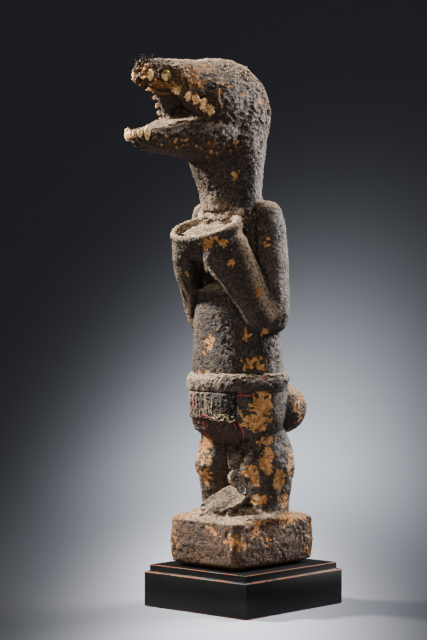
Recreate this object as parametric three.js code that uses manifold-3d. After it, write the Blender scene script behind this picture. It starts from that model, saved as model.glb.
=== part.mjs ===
// A carved wooden monkey that stands on a carved block, holds a bowl out in front of its chest and
// gapes upwards. Teeth, eyes, a waistband and a loincloth are pieces of their own, and the whole
// stands on a stepped, lacquered plinth. Millimetres, +Z up. The monkey faces -Y, its left side is
// +X, and the origin is the middle of the plinth's underside.
import * as THREE from "three";
import { mergeVertices } from "three/addons/utils/BufferGeometryUtils.js";
import Module from "manifold-3d";

const wasm = await Module();
wasm.setup();

// Driving dimensions.
const GAP = 0.3; // between two pieces that touch
const PLINTH = { wide: 148, deep: 161, high: 38.5, step: 7.4, ledge: 4.2, bevel: 1.1 };
const PLINTH_TOP = PLINTH.high + PLINTH.step;
const BLOCK = { bottom: PLINTH_TOP + GAP, high: 54, wide: 100, deep: 128, middle: -3, slope: 0.03 };
const BLOCK_TOP = BLOCK.bottom + BLOCK.high;
const LEG = { apart: 66, knee: 153 };
const HIPS = 218; // the height of the buttocks' middle
const BAND = { bottom: 236, top: 257, thick: 5.5 };
const CLOTH = { thick: 2.2, flapThick: 4.2, halfWide: 33, flapBottom: 208 };
const CROTCH = 184;
const ELBOW = new THREE.Vector3(52, -10, 312);
const SHOULDER = new THREE.Vector3(49.5, -9, 433);
const BOWL = { x: 0, y: -63, z: 416, halfWide: 43, halfLong: 35, lip: 4.5, hollow: 15, high: 27 };
const BOWL_TILT = THREE.MathUtils.degToRad(26); // the mouth of the bowl leans forward
const MOUTH = { front: -166, gum: 561, floor: 512, roll: 0.04 };

const X = new THREE.Vector3(1, 0, 0);
const Z = new THREE.Vector3(0, 0, 1);

// A colour from red, green and blue shares.
const paint = (r, g, b, roughness) =>
  new THREE.MeshStandardMaterial({ color: new THREE.Color(r, g, b), roughness, metalness: 0 });
const crustedWood = paint(0.11, 0.085, 0.065, 0.85);
const lacquer = paint(0.02, 0.02, 0.022, 0.3);
const crustedCloth = paint(0.16, 0.12, 0.1, 0.95);
const toothBone = paint(0.78, 0.68, 0.5, 0.45);
const amberEye = paint(0.28, 0.2, 0.06, 0.2);

// A closed geometry as a solid that can be cut and joined.
function solid(geometry) {
  const bare = geometry.clone();
  for (const name of Object.keys(bare.attributes)) {
    if (name !== "position") bare.deleteAttribute(name);
  }
  const merged = mergeVertices(bare, 1e-4);
  return new wasm.Manifold(
    new wasm.Mesh({
      numProp: 3,
      vertProperties: merged.attributes.position.array,
      triVerts: new Uint32Array(merged.index.array),
    }),
  );
}

// A solid as a named mesh.
function piece(name, made, material) {
  const { vertProperties, triVerts, numProp } = made.getMesh();
  const positions = new Float32Array((vertProperties.length / numProp) * 3);
  for (let i = 0; i < positions.length / 3; i++) {
    positions.set(vertProperties.subarray(i * numProp, i * numProp + 3), i * 3);
  }
  const geometry = new THREE.BufferGeometry();
  geometry.setAttribute("position", new THREE.BufferAttribute(positions, 3));
  geometry.setIndex(new THREE.BufferAttribute(new Uint32Array(triVerts), 1));
  geometry.computeVertexNormals();
  const mesh = new THREE.Mesh(geometry, material);
  mesh.name = name;
  return mesh;
}

const joined = (solids) => solids.reduce((all, one) => all.add(one));

// A smooth value between the rows of a table, as a curve through them.
function curveThrough(rows) {
  return new THREE.CatmullRomCurve3(rows.map((row) => new THREE.Vector3(...row)), false, "catmullrom", 0.5);
}

// A closed body through sections, made by moving the rings of a cylinder to them. Each section is
// { at, wide, fore, aft, square }: its centre, its half width along side, its half depths ahead of
// and behind the centre, and how square it is, where 2 is an ellipse. grow swells it all round.
function loft(sections, { sides = 24, rings = 12, side = X, along = null, grow = 0 } = {}) {
  const centres = curveThrough(sections.map((s) => s.at));
  const sizes = curveThrough(sections.map((s) => [s.wide, s.fore, s.aft ?? s.fore]));
  const shapes = curveThrough(sections.map((s) => [s.square ?? 2, 0, 0]));
  const geometry = new THREE.CylinderGeometry(1, 1, 1, sides, rings);
  const position = geometry.attributes.position;
  for (let i = 0; i < position.count; i++) {
    const [x, y, z] = [position.getX(i), position.getY(i), position.getZ(i)];
    const t = THREE.MathUtils.clamp(y + 0.5, 0, 1);
    const centre = centres.getPoint(t);
    const size = sizes.getPoint(t);
    const power = 2 / shapes.getPoint(t).x;
    const forward = along ?? centres.getTangent(t);
    const across = side.clone().addScaledVector(forward, -side.dot(forward)).normalize();
    const ahead = across.clone().cross(forward);
    const round = (v) => Math.sign(v) * Math.abs(v) ** power;
    const deep = z > 0 ? size.y : size.z;
    const end = centre.clone();
    end.addScaledVector(across, round(x) * (size.x + grow));
    end.addScaledVector(ahead, round(z) * (deep + grow));
    if (grow && (t === 0 || t === 1)) end.addScaledVector(forward, t === 0 ? -grow : grow);
    position.setXYZ(i, end.x, end.y, end.z);
  }
  return solid(geometry);
}

// A ball squashed to three half sizes, turned about X and moved into place.
function lump(at, size, { turn = 0, across = 14, down = 9, grow = 0 } = {}) {
  const geometry = new THREE.SphereGeometry(1, across, down);
  geometry.rotateX(Math.PI / 2);
  geometry.scale(size[0] + grow, size[1] + grow, size[2] + grow);
  geometry.rotateX(turn);
  geometry.translate(...at);
  return solid(geometry);
}

// A flat outline of [x, y] points made solid along +Z.
function slab(outline, high, bevel = 0) {
  const shape = new THREE.Shape(outline.map(([x, y]) => new THREE.Vector2(x, y)));
  return new THREE.ExtrudeGeometry(shape, {
    depth: high - 2 * bevel,
    bevelEnabled: bevel > 0,
    bevelSize: bevel,
    bevelThickness: bevel,
    bevelOffset: -bevel,
    bevelSegments: 1,
  }).translate(0, 0, bevel);
}

// The plinth: a block with a narrower step on top, its edges softened by wear.
function makePlinth() {
  const rectangle = (wide, deep) => [
    [-wide / 2, -deep / 2],
    [wide / 2, -deep / 2],
    [wide / 2, deep / 2],
    [-wide / 2, deep / 2],
  ];
  const block = slab(rectangle(PLINTH.wide, PLINTH.deep), PLINTH.high, PLINTH.bevel);
  const stepOutline = rectangle(PLINTH.wide - 2 * PLINTH.ledge, PLINTH.deep - 2 * PLINTH.ledge);
  const sunk = 2; // the step runs this far into the block
  const step = slab(stepOutline, PLINTH.step + sunk, PLINTH.bevel / 2);
  step.translate(0, 0, PLINTH.high - sunk);
  return solid(block).add(solid(step));
}

// The block that the monkey is carved with: worn, its corners cut off unevenly, its underside
// rounded away at the rim, and its top rising to the feet. Each level is [height, share of the plan].
function carvedBlock() {
  const [a, b] = [BLOCK.wide / 2, BLOCK.deep / 2];
  const plan = [
    [-a + 3, -b + 1],
    [a - 9, -b],
    [a - 1, -b + 7],
    [a + 0.5, 0],
    [a, b - 3],
    [a - 4, b],
    [-a + 12, b - 1],
    [-a, b - 12],
    [-a - 1, 0],
    [-a, -b + 5],
  ];
  const levels = [
    [BLOCK.bottom, 0.82],
    [BLOCK.bottom + 5, 0.985],
    [BLOCK.bottom + 24, 1.012],
    [BLOCK_TOP - 2.5, 0.99],
    [BLOCK_TOP, 0.95],
    [BLOCK_TOP + 4, 0.66],
  ];
  const shape = new THREE.Shape(plan.map(([x, y]) => new THREE.Vector2(x, y + BLOCK.middle)));
  const flat = new THREE.ExtrudeGeometry(shape, { depth: 1, steps: levels.length - 1, bevelEnabled: false });
  const position = flat.attributes.position;
  for (let i = 0; i < position.count; i++) {
    const level = Math.round(position.getZ(i) * (levels.length - 1));
    const [high, share] = levels[level];
    const x = position.getX(i) * share;
    const y = BLOCK.middle + (position.getY(i) - BLOCK.middle) * share;
    const rise = level > 2 ? -BLOCK.slope * x : 0; // the top climbs to the right side
    position.setXYZ(i, x, y, high + rise);
  }
  return solid(flat);
}

// One leg, bent at the knee: the knee comes forward, and the calf ends in a ridge behind.
function leg(sign, grow = 0) {
  const x = (sign * LEG.apart) / 2;
  return loft(
    [
      { at: [x, 2, BLOCK_TOP - 4], wide: 21, fore: 27, aft: 28, square: 2.6 },
      { at: [x, 2, BLOCK_TOP + 10], wide: 18, fore: 24, aft: 27, square: 2.6 },
      { at: [x, 2, LEG.knee - 16], wide: 20, fore: 29, aft: 31, square: 2.6 },
      { at: [x, 2, LEG.knee - 3], wide: 22, fore: 36, aft: 37, square: 2.4 },
      { at: [x, 2, LEG.knee + 5], wide: 22.5, fore: 36, aft: 36, square: 2.4 },
      { at: [x * 0.97, 3, LEG.knee + 19], wide: 22, fore: 31, aft: 31, square: 2.5 },
      { at: [x * 0.93, 1, CROTCH + 4], wide: 20, fore: 28, aft: 26, square: 2.4 },
      { at: [x * 0.85, -2, CROTCH + 20], wide: 20, fore: 27, aft: 25, square: 2.2 },
    ],
    { sides: 14, rings: 10, along: Z, grow },
  );
}

// A broad foot, mostly worn into the top of the block.
function foot(sign) {
  return lump([(sign * LEG.apart) / 2, -10, BLOCK_TOP], [22, 38, 8], { across: 12, down: 6 });
}

// Hips and belly: the belly is a smooth barrel that ends above in a rounded shelf under the bowl.
function trunk(grow = 0) {
  return loft(
    [
      { at: [0, -8, CROTCH - 2], wide: 30, fore: 20, aft: 20 },
      { at: [0, -8, CROTCH + 6], wide: 48, fore: 35, aft: 33, square: 2.2 },
      { at: [0, -8, HIPS - 16], wide: 54, fore: 44, aft: 38, square: 2.3 },
      { at: [0, -8, HIPS + 6], wide: 56, fore: 47, aft: 41, square: 2.3 },
      { at: [0, -8, 252], wide: 53, fore: 46, aft: 41, square: 2.2 },
      { at: [0, -9, 275], wide: 50, fore: 46, aft: 41, square: 2.2 },
      { at: [0, -9, 305], wide: 49, fore: 47, aft: 40, square: 2.2 },
      { at: [0, -9, 326], wide: 46, fore: 48, aft: 38, square: 2.2 },
      { at: [0, -12, 341], wide: 38, fore: 45, aft: 34, square: 2.2 },
      { at: [0, -16, 350], wide: 26, fore: 37, aft: 26, square: 2.1 },
      { at: [0, -20, 355], wide: 12, fore: 24, aft: 14 },
    ],
    { sides: 24, rings: 13, along: Z, grow },
  );
}

// Both buttocks, which stand out behind under the waistband.
function buttock(sign, grow = 0) {
  return lump([sign * 26, 31, HIPS - 1], [29, 32, 28.5], { across: 16, down: 9, grow });
}

// The chest and back, hollow in front under the bowl.
function chest() {
  return loft(
    [
      { at: [0, 0, 325], wide: 46, fore: 28, aft: 29, square: 2.6 },
      { at: [0, -2, 360], wide: 46, fore: 26, aft: 29, square: 2.8 },
      { at: [0, -4, 395], wide: 45, fore: 30, aft: 28, square: 2.8 },
      { at: [0, -8, 422], wide: 43, fore: 34, aft: 26, square: 2.5 },
      { at: [0, -12, 440], wide: 38, fore: 32, aft: 24, square: 2.3 },
      { at: [0, -15, 450], wide: 26, fore: 26, aft: 20 },
    ],
    { sides: 18, rings: 7, along: Z },
  );
}

// An upper arm, from the shoulder straight down to the elbow.
function upperArm(sign) {
  const { x, y, z } = SHOULDER;
  return loft(
    [
      { at: [sign * (x - 9), y - 3, z + 10], wide: 5, fore: 9 },
      { at: [sign * (x - 6), y - 3, z + 7], wide: 10, fore: 13, square: 2.2 },
      { at: [sign * (x - 2), y - 2, z - 6], wide: 12.5, fore: 17, square: 2.4 },
      { at: [sign * (x + 1), y, 385], wide: 12.5, fore: 18, square: 2.6 },
      { at: [sign * (x + 2), y + 1, 345], wide: 12.5, fore: 18, square: 2.6 },
      { at: [sign * ELBOW.x, ELBOW.y + 1, ELBOW.z], wide: 12, fore: 18, square: 2.4 },
      { at: [sign * (ELBOW.x - 4), ELBOW.y, ELBOW.z - 10], wide: 8, fore: 13 },
      { at: [sign * (ELBOW.x - 7), ELBOW.y, ELBOW.z - 15], wide: 3, fore: 5 },
    ],
    { sides: 14, rings: 9, along: Z.clone().negate() },
  );
}

// A forearm: a broad flat band that fans out from the elbow to the side of the bowl, and lies
// round the bowl there as a hand would.
function forearm(sign) {
  return loft(
    [
      { at: [sign * 45, -18, 300], wide: 5, fore: 9, aft: 9, square: 2.4 },
      { at: [sign * 46, -21, 311], wide: 9, fore: 20, aft: 18, square: 2.6 },
      { at: [sign * 44, -33, 335], wide: 10, fore: 20, aft: 21, square: 2.8 },
      { at: [sign * 39, -46, 360], wide: 10.5, fore: 23, aft: 22, square: 2.8 },
      { at: [sign * 33, -57, 383], wide: 12.5, fore: 32, aft: 22, square: 2.7 },
      { at: [sign * 28.5, -60, 401], wide: 14.5, fore: 28, aft: 20, square: 2.5 },
      { at: [sign * 26, -59, 412], wide: 10, fore: 17, aft: 13 },
    ],
    { sides: 16, rings: 10, side: new THREE.Vector3(0.87, -0.5 * sign, 0) },
  );
}

// A round shape about the bowl's own axis, from [radius, height] points, set where the bowl is.
function bowlTurned(profile) {
  const turned = new THREE.LatheGeometry(profile.map(([r, h]) => new THREE.Vector2(r, h)), 26);
  turned.rotateX(Math.PI / 2);
  turned.scale(BOWL.halfWide, BOWL.halfLong, 1);
  turned.rotateX(BOWL_TILT);
  turned.translate(BOWL.x, BOWL.y, BOWL.z);
  return solid(turned);
}

// The bowl outside, full to the lip, and the hollow that is cut out of it.
function bowlBody() {
  return bowlTurned([
    [0, -BOWL.high],
    [0.76, -BOWL.high],
    [0.9, -BOWL.high * 0.7],
    [0.98, -BOWL.high * 0.35],
    [1, -3],
    [0.98, 0],
    [0.92, 1.2],
    [0, 1.2],
  ]);
}

function bowlHollow() {
  const inside = 1 - BOWL.lip / BOWL.halfLong;
  return bowlTurned([
    [0, -BOWL.hollow],
    [inside * 0.45, -BOWL.hollow * 0.93],
    [inside * 0.8, -BOWL.hollow * 0.55],
    [inside, 0],
    [inside + 0.1, 8],
    [0, 8],
  ]);
}

// The neck, which swells into the back of the skull.
function neck() {
  return loft(
    [
      { at: [0, -14, 426], wide: 37, fore: 36, aft: 34 },
      { at: [0, -20, 446], wide: 34, fore: 35, aft: 33 },
      { at: [0, -24, 466], wide: 36, fore: 38, aft: 37 },
      { at: [0, -27, 486], wide: 40, fore: 46, aft: 42 },
      { at: [0, -28, 508], wide: 42, fore: 52, aft: 45 },
      { at: [0, -28, 530], wide: 36, fore: 44, aft: 40 },
    ],
    { sides: 20, rings: 8, along: Z },
  );
}

// Skull and upper jaw in one, from the tip of the muzzle back: fore is up and aft is down. The
// muzzle is widest at the gum, where the mouth is cut away from it.
function skull() {
  return loft(
    [
      { at: [0, -164, 569], wide: 5, fore: 8, aft: 7 },
      { at: [0, -161, 567], wide: 10, fore: 17, aft: 9, square: 2.4 },
      { at: [0, -150, 563], wide: 12, fore: 25, aft: 12, square: 2.4 },
      { at: [0, -134, 558], wide: 16.5, fore: 31, aft: 18, square: 2.3 },
      { at: [0, -117, 552], wide: 23.5, fore: 38, aft: 24, square: 2.3 },
      { at: [0, -98, 546], wide: 32.5, fore: 45, aft: 34, square: 2.2 },
      { at: [0, -74, 545], wide: 42, fore: 47.5, aft: 42, square: 2.1 },
      { at: [0, -48, 545], wide: 43, fore: 51, aft: 50 },
      { at: [0, -26, 543], wide: 43, fore: 52, aft: 54 },
      { at: [0, -4, 540], wide: 39, fore: 46, aft: 52 },
      { at: [0, 11, 535], wide: 29, fore: 34, aft: 42 },
      { at: [0, 19, 531], wide: 14, fore: 17, aft: 24 },
    ],
    { sides: 22, rings: 17, along: new THREE.Vector3(0, 1, 0) },
  );
}

// The lower jaw, a long scoop that thickens towards the throat.
function lowerJaw() {
  return loft(
    [
      { at: [0, -172, 507], wide: 7, fore: 5, aft: 5 },
      { at: [0, -167, 506], wide: 13, fore: 9, aft: 9, square: 2.3 },
      { at: [0, -152, 505], wide: 18, fore: 13, aft: 14, square: 2.3 },
      { at: [0, -132, 507], wide: 25, fore: 18, aft: 17.5, square: 2.3 },
      { at: [0, -110, 511], wide: 32, fore: 24, aft: 22.5, square: 2.2 },
      { at: [0, -85, 514], wide: 38, fore: 30, aft: 28, square: 2.2 },
      { at: [0, -60, 514], wide: 40, fore: 30, aft: 34, square: 2.1 },
      { at: [0, -42, 512], wide: 36, fore: 28, aft: 34 },
    ],
    { sides: 18, rings: 10, along: new THREE.Vector3(0, 1, 0) },
  );
}

// The gape: a wedge with a blunt end cut right through between the jaws, and a vaulted palate.
function gape() {
  const { front, gum, floor } = MOUTH;
  const outline = [
    [front - 25, gum + 4],
    [front, gum + 1],
    [-134, gum],
    [-121, gum - 11.5],
    [-107, gum - 21],
    [-101, gum - 29],
    [-106, gum - 34],
    [-119, floor + 13.5],
    [-141, floor + 6.5],
    [front, floor],
    [front - 25, floor - 5],
  ];
  // The outline lies in Y and Z, and its thickness along X.
  const wedge = slab(outline, 120).rotateX(Math.PI / 2).rotateZ(Math.PI / 2).translate(-60, 0, -540);
  wedge.rotateY(MOUTH.roll).translate(0, 0, 540); // the right side of the mouth gapes a little wider
  const palate = lump([0, -121, 550], [13, 31, 8], { turn: -0.45, across: 12, down: 6 });
  const throat = lump([0, -96, 534], [17, 24, 9], { across: 12, down: 6 });
  return joined([solid(wedge), palate, throat]);
}

// An ear: a raised rim in the shape of a C, open towards the back.
function ear(sign) {
  const [turns, radius] = [6, 12];
  const rim = [];
  for (let i = 0; i <= turns; i++) {
    const angle = THREE.MathUtils.degToRad(55 + (200 * i) / turns);
    const thin = i === 0 || i === turns ? 0.6 : 1;
    const out = 41.5 + 1.5 * Math.sin(angle);
    const at = [sign * out, -78 + radius * Math.cos(angle), 553 + radius * Math.sin(angle)];
    rim.push({ at, wide: 4 * thin, fore: 2.3 * thin });
  }
  return loft(rim, { sides: 8, rings: 9, side: new THREE.Vector3(sign, 0, 0) });
}

// A swollen eyelid behind each eye.
function eyelid(sign) {
  return lump([sign * 16, -127, 573], [7.5, 11, 13], { turn: 0.25, across: 12, down: 7 });
}

// A thick plate of dried offerings, cracked off the block and leaning on the feet.
function offeringPlate() {
  return loft(
    [
      { at: [-26, -45, 103], wide: 10, fore: 2.5, aft: 3 },
      { at: [-18, -42, 106], wide: 17, fore: 5.5, aft: 8, square: 2.8 },
      { at: [0, -36, 111], wide: 22, fore: 8, aft: 13, square: 3 },
      { at: [16, -30, 113], wide: 15, fore: 7, aft: 12, square: 2.8 },
      { at: [23, -27, 112], wide: 7, fore: 4, aft: 7 },
    ],
    { sides: 14, rings: 7, side: new THREE.Vector3(0.2, 1, 0.55).normalize() },
  );
}

// A tooth or a bone fragment: a small squashed ball. grow makes the socket that it sits in.
function tooth([x, y, z], [wide, deep, high], lean, grow = 0) {
  return lump([x, y, z], [wide, deep, high], { turn: lean, across: 7, down: 5, grow });
}

// Every inset piece, as [name, place, half sizes, lean, material], the paired ones on both sides.
function insetPieces() {
  const pieces = [];
  const pair = (name, [x, y, z], size, lean, material = toothBone) => {
    for (const [label, sign] of [["left", 1], ["right", -1]]) {
      pieces.push([`${name}_${label}`, [sign * x, y, z], size, lean, material]);
    }
  };
  pair("eye", [14.5, -139, 570], [5.2, 5.2, 5.2], 0, amberEye);
  pair("upper_canine", [9, -156.5, 569], [3.6, 4, 7.5], 0.1);
  pair("lower_canine", [13.5, -166, 508.5], [4.2, 3.8, 7.2], -0.1);
  pair("lower_outer_incisor", [7.2, -170.5, 508], [2.3, 2.4, 5.2], -0.15);
  pair("lower_inner_incisor", [2.4, -172.5, 508], [2.2, 2.4, 5.4], -0.2);
  // The side teeth follow the gum down to the corner of the mouth, more steeply on the right.
  const sideTeeth = {
    left: [
      [18.5, -127, 556, 3.2, 4.8, 3.4],
      [24, -115.5, 549.5, 3, 3.2, 3.4],
      [28, -107.5, 546, 3, 4.2, 3.8],
      [32, -99.5, 541, 3.4, 4.4, 5],
      [35, -93, 535.5, 2.8, 2.4, 4.4],
    ],
    right: [
      [-16.5, -131, 559, 3, 4, 3.4],
      [-20.5, -121, 550, 3, 3.4, 3.4],
      [-24.5, -112, 543, 3, 3.6, 3.6],
      [-28.5, -104.5, 536, 3, 3.4, 4],
      [-31, -99, 529, 2.8, 2.6, 4],
    ],
  };
  for (const [label, row] of Object.entries(sideTeeth)) {
    row.forEach(([x, y, z, wide, deep, high], i) => {
      pieces.push([`upper_side_tooth_${i + 1}_${label}`, [x, y, z], [wide, deep, high], 0.3, toothBone]);
    });
  }
  return pieces;
}

// The waist that the band and the cloth are wrapped round.
const waistCore = (grow) =>
  joined([trunk(grow), buttock(1, grow), buttock(-1, grow), leg(1, grow), leg(-1, grow)]);

function makeFigure(insets) {
  const parts = [carvedBlock(), trunk(), chest(), neck(), skull(), lowerJaw(), bowlBody(), offeringPlate()];
  for (const sign of [-1, 1]) {
    const paired = [leg, foot, buttock, upperArm, forearm, ear, eyelid];
    parts.push(...paired.map((make) => make(sign)));
  }
  let figure = joined(parts).subtract(gape()).subtract(bowlHollow());
  for (const [, place, size, lean] of insets) {
    figure = figure.subtract(tooth(place, size, lean, GAP));
  }
  return figure;
}

// The band of folded cloth round the waist, rounded outside and cut to the body within.
function makeBand(core) {
  const middle = (BAND.bottom + BAND.top) / 2;
  const half = (BAND.top - BAND.bottom) / 2;
  const turn = (up, out) => ({
    at: [0, -8, middle + up * half],
    wide: 53 + out,
    fore: 46 + out,
    aft: 41 + out,
    square: 2.2,
  });
  const profile = [
    [-1, 2],
    [-0.85, 4.6],
    [-0.3, BAND.thick],
    [0.4, BAND.thick],
    [0.85, 3],
    [1, 0.8],
  ];
  const roll = profile.map(([up, out]) => turn(up, out));
  return loft(roll, { sides: 24, rings: 5, along: Z }).subtract(core);
}

// The loincloth: a flap over a longer cloth that is drawn together between the thighs, taken up
// behind, and hangs down between the legs as a knotted end.
function makeLoincloth(core) {
  const top = BAND.bottom - GAP;
  const { halfWide, flapBottom, thick, flapThick } = CLOTH;
  const low = CROTCH - 6;
  const flap = [
    [-halfWide, top],
    [-halfWide, flapBottom],
    [halfWide, flapBottom - 1],
    [halfWide, top],
  ];
  const cloth = [
    [-halfWide + 1, top],
    [-halfWide + 1, flapBottom],
    [-31, flapBottom - 14],
    [-15, low],
    [15, low],
    [31, flapBottom - 14],
    [halfWide - 1, flapBottom],
    [halfWide - 1, top],
  ];
  const behind = [
    [-11, top],
    [-9, low],
    [9, low],
    [11, top],
  ];
  const towardsBack = (outline, from, to) =>
    solid(slab(outline, to - from).rotateX(Math.PI / 2).translate(0, to, 0));
  const wrap = (out) =>
    joined([trunk(out + GAP), buttock(1, out + GAP), buttock(-1, out + GAP)]);
  const strip = towardsBack(cloth, -80, -8).add(towardsBack(behind, -20, 80));
  const end = loft(
    [
      { at: [0, -14, CROTCH], wide: 9, fore: 14 },
      { at: [0, -17, CROTCH - 18], wide: 6, fore: 7 },
      { at: [2, -20, CROTCH - 32], wide: 6, fore: 6 },
      { at: [4, -22, CROTCH - 41], wide: 8.5, fore: 8.5 },
      { at: [4, -22, CROTCH - 50], wide: 4, fore: 4 },
    ],
    { sides: 10, rings: 7, along: Z.clone().negate() },
  );
  const layers = [wrap(thick).intersect(strip), wrap(flapThick).intersect(towardsBack(flap, -80, -8))];
  return joined([...layers, end]).subtract(core);
}

const insets = insetPieces();
const core = waistCore(GAP);
const monkey = new THREE.Group();
monkey.add(piece("plinth", makePlinth(), lacquer));
monkey.add(piece("monkey_figure", makeFigure(insets), crustedWood));
monkey.add(piece("waistband", makeBand(core), crustedCloth));
monkey.add(piece("loincloth", makeLoincloth(core), crustedCloth));
for (const [name, place, size, lean, material] of insets) {
  monkey.add(piece(name, tooth(place, size, lean), material));
}

export default monkey;
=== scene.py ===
# %% [markdown]
# # A carved monkey with a bowl
# This lesson dresses a carved wooden figure: a monkey that stands on its own block, holds a bowl
# against its chest and gapes upwards. The real wood is hidden under a thick crust of old offerings,
# rubbed pale on the ridges and chipped to bare ochre wood. The plain solids of the figure are loaded
# first, and every length below is in metres in their frame: +Z is up and the monkey faces -Y.

# %% Load the solids
import math
import random

import bpy
import numpy as np
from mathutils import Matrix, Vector, noise
from mathutils.bvhtree import BVHTree


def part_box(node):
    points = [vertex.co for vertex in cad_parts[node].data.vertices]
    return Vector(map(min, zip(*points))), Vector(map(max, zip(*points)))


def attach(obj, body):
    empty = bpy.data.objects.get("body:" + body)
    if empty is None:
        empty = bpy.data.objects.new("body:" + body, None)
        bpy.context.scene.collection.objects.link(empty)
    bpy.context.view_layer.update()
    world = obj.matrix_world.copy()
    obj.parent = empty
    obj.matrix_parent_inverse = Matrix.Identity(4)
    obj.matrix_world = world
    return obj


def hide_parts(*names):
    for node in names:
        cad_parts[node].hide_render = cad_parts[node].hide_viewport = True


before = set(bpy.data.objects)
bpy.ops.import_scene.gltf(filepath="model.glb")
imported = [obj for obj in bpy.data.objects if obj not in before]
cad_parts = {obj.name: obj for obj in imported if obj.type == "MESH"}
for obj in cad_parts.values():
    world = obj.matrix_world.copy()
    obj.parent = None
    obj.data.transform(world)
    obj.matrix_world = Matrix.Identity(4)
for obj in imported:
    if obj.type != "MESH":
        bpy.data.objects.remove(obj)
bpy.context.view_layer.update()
MM = 0.001
SEED = 7
random.seed(SEED)
# Blender's noise has a seed of its own, which would otherwise come from the clock.
noise.seed_set(SEED)

# %% [markdown]
# ## Where the photographer stood
# The camera stands off the monkey's left shoulder, a little above its waist, with a long lens. It is
# made first because chips, threads and fibres are placed by looking from it: a point of the picture
# is a line of sight, and the thing lies where that line meets the carving.

# %% Camera
CAMERA_AT = Vector((1.4502, -1.6545, 0.342))
LOOK_AT = Vector((-0.0246, -0.0223, 0.3136))
LENS = 112.5
SENSOR = 36.0
PICTURE = (427, 640)

camera_data = bpy.data.cameras.new("camera")
camera_data.lens = LENS
camera_data.sensor_width = SENSOR
camera = bpy.data.objects.new("camera", camera_data)
bpy.context.scene.collection.objects.link(camera)
camera.location = CAMERA_AT
camera.rotation_mode = "QUATERNION"
camera.rotation_quaternion = (LOOK_AT - CAMERA_AT).to_track_quat("-Z", "Y")
bpy.context.scene.camera = camera

FORWARD = (LOOK_AT - CAMERA_AT).normalized()
RIGHT = FORWARD.cross(Vector((0, 0, 1))).normalized()
UP = RIGHT.cross(FORWARD)
FOCUS = LENS / SENSOR * PICTURE[1]
POINT = (LOOK_AT - CAMERA_AT).length / FOCUS
print("one point of the picture is", round(POINT / MM, 3), "mm at the figure")


def sight(across, down):
    """The direction from the camera through a point of the picture."""
    return (FORWARD * FOCUS + RIGHT * (across - PICTURE[0] / 2) - UP * (down - PICTURE[1] / 2)).normalized()


MIDDLE_LINE = 235


def seen_on(skins, across, down):
    """Where a line of sight first meets one of these skins, and the normal there.

    A line that just misses an outer edge is moved towards the middle of the figure until it meets it.
    """
    for step in range(10):
        direction = sight(across + math.copysign(step, MIDDLE_LINE - across), down)
        hits = [skin.ray_cast(CAMERA_AT, direction) for skin in skins]
        hits = [hit for hit in hits if hit[0] is not None]
        if hits:
            place, normal, _, _ = min(hits, key=lambda hit: hit[3])
            return place, normal
    raise ValueError(f"nothing is seen at {across}, {down}")


def skin_of(piece):
    """A piece's faces, ready for lines of sight."""
    return BVHTree.FromObject(piece, bpy.context.evaluated_depsgraph_get())


# %% [markdown]
# ## Tools of the workshop
# Every piece below is a primitive or a copy of a solid, shaped with operators in edit mode and
# finished with modifiers that are applied. These short helpers keep the selection tidy, because an
# operator acts on all that is selected.


# %% Selection and modifiers
def only(*objects):
    """Selects these objects and nothing else, and makes the first one active."""
    bpy.ops.object.select_all(action="DESELECT")
    for one in objects:
        one.select_set(True)
    bpy.context.view_layer.objects.active = objects[0]


def finish_with(piece, kind, **values):
    """Adds a modifier with these values and applies it."""
    only(piece)
    modifier = piece.modifiers.new(kind.lower(), kind)
    for key, value in values.items():
        setattr(modifier, key, value)
    bpy.ops.object.modifier_apply(modifier=modifier.name)


def settle(piece):
    """Leaves the object at the origin, unturned and unscaled, with its place in its mesh."""
    only(piece)
    bpy.ops.object.transform_apply(location=True, rotation=True, scale=True)


def named_active(name):
    """The object that an operator has just made or joined, under this name."""
    piece = bpy.context.view_layer.objects.active
    piece.name = piece.data.name = name
    return piece


def reskin(piece, voxel, rounds):
    """Gives a piece an even skin of small faces, smoothed for some rounds."""
    finish_with(piece, "REMESH", mode="VOXEL", voxel_size=voxel)
    finish_with(piece, "SMOOTH", factor=0.5, iterations=rounds)


def roughen(piece, texture, strength):
    """Moves the points in and out by a texture that lies in the piece's own space."""
    finish_with(piece, "DISPLACE", texture=texture, texture_coords="LOCAL", strength=strength,
                mid_level=0.5)


def edit_all(piece, *steps):
    """Runs edit-mode steps on the whole mesh, each an operator with its values."""
    only(piece)
    bpy.ops.object.mode_set(mode="EDIT")
    for operator, values in steps:
        bpy.ops.mesh.select_all(action="SELECT")
        operator(**values)
    bpy.ops.object.mode_set(mode="OBJECT")


def copy_of(piece, name):
    """A copy of an object with its own mesh, free of its parent and its labels."""
    made = piece.copy()
    made.data = piece.data.copy()
    made.name = made.data.name = name
    made.parent = None
    for key in list(made.keys()):
        del made[key]
    made.data.materials.clear()
    bpy.context.scene.collection.objects.link(made)
    return made


def copy_of_solid(node, name):
    """A copy of a solid as a new piece, with its loose triangles merged."""
    piece = copy_of(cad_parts[node], name)
    edit_all(piece, (bpy.ops.mesh.remove_doubles, {"threshold": 0.01 * MM}))
    return piece


def mirrored(piece):
    """The same form on the monkey's other side."""
    made = copy_of(piece, piece.name)
    made.scale.x = -1
    settle(made)
    edit_all(made, (bpy.ops.mesh.normals_make_consistent, {"inside": False}))
    return made


def add_to(piece, *others):
    """Joins other meshes to a piece."""
    only(piece, *others)
    bpy.ops.object.join()


def points_of(piece):
    """The places and normals of a mesh's points, as two arrays."""
    mesh = piece.data
    places = np.empty(len(mesh.vertices) * 3, np.float32)
    normals = np.empty(len(mesh.vertices) * 3, np.float32)
    mesh.vertices.foreach_get("co", places)
    mesh.vertex_normals.foreach_get("vector", normals)
    return places.reshape(-1, 3), normals.reshape(-1, 3)


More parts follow.
